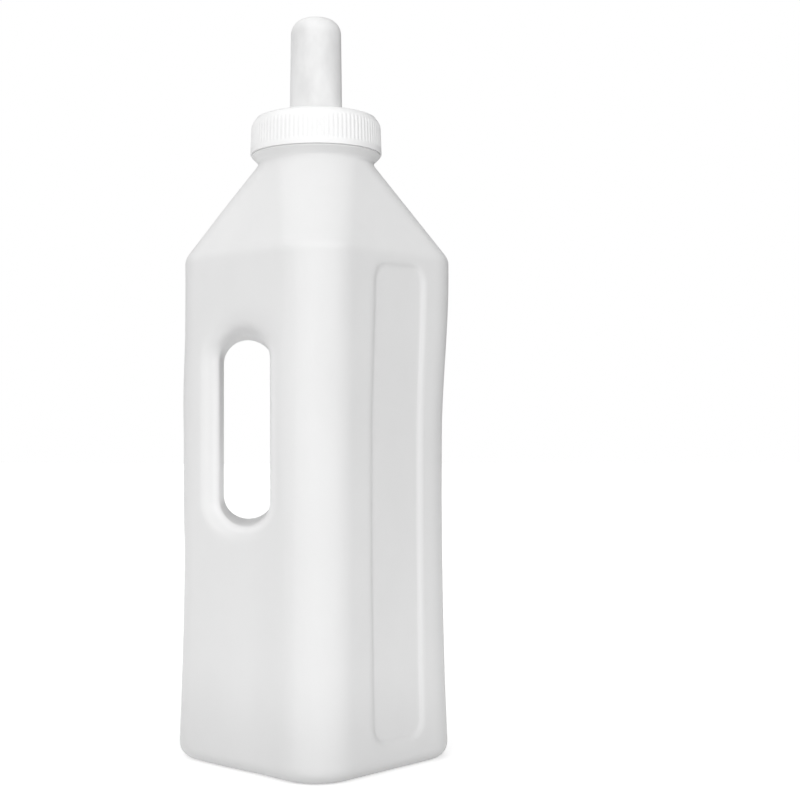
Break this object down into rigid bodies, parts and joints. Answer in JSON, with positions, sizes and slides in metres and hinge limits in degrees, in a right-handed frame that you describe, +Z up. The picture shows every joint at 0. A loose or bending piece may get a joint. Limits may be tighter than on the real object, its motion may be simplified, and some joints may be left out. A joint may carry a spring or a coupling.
{
  "type": "calf feeding bottle",
  "caption": "Square white feeding bottle with a handle through one corner, a ribbed screw cap and a soft teat clamped under it.",
  "frame": {"origin": "middle of the base, on the surface the bottle stands on", "axes": "+Z up along the bottle; the handle is in the corner at -X, and the other corners point along +X, +Y and -Y"},
  "size_m": [0.1253, 0.1234, 0.3432],
  "materials": {
    "bottle_plastic": "satin, faintly translucent white polyethylene",
    "cap_plastic": "satin, bright white polyethylene",
    "silicone": "glossy, milky translucent silicone"
  },
  "bodies": {
    "body": {"bottle": "bottle_plastic"},
    "teat_body": {"teat": "silicone"},
    "cap_body": {"screw_cap": "cap_plastic"}
  },
  "joints": [
    {"name": "cap_lift", "type": "slide", "parent": "body", "child": "teat_body", "axis": [0, 0, 1], "range_m": [0, 0.015]},
    {"name": "cap_turn", "type": "hinge", "parent": "teat_body", "child": "cap_body", "pos_m": [0, 0, 0.28], "axis": [0, 0, 1], "range_deg": [0, 1080]}
  ],
  "couplings": [
    {"joint": "cap_lift", "follows": "cap_turn", "m_per_rad": 0.00079577}
  ]
}
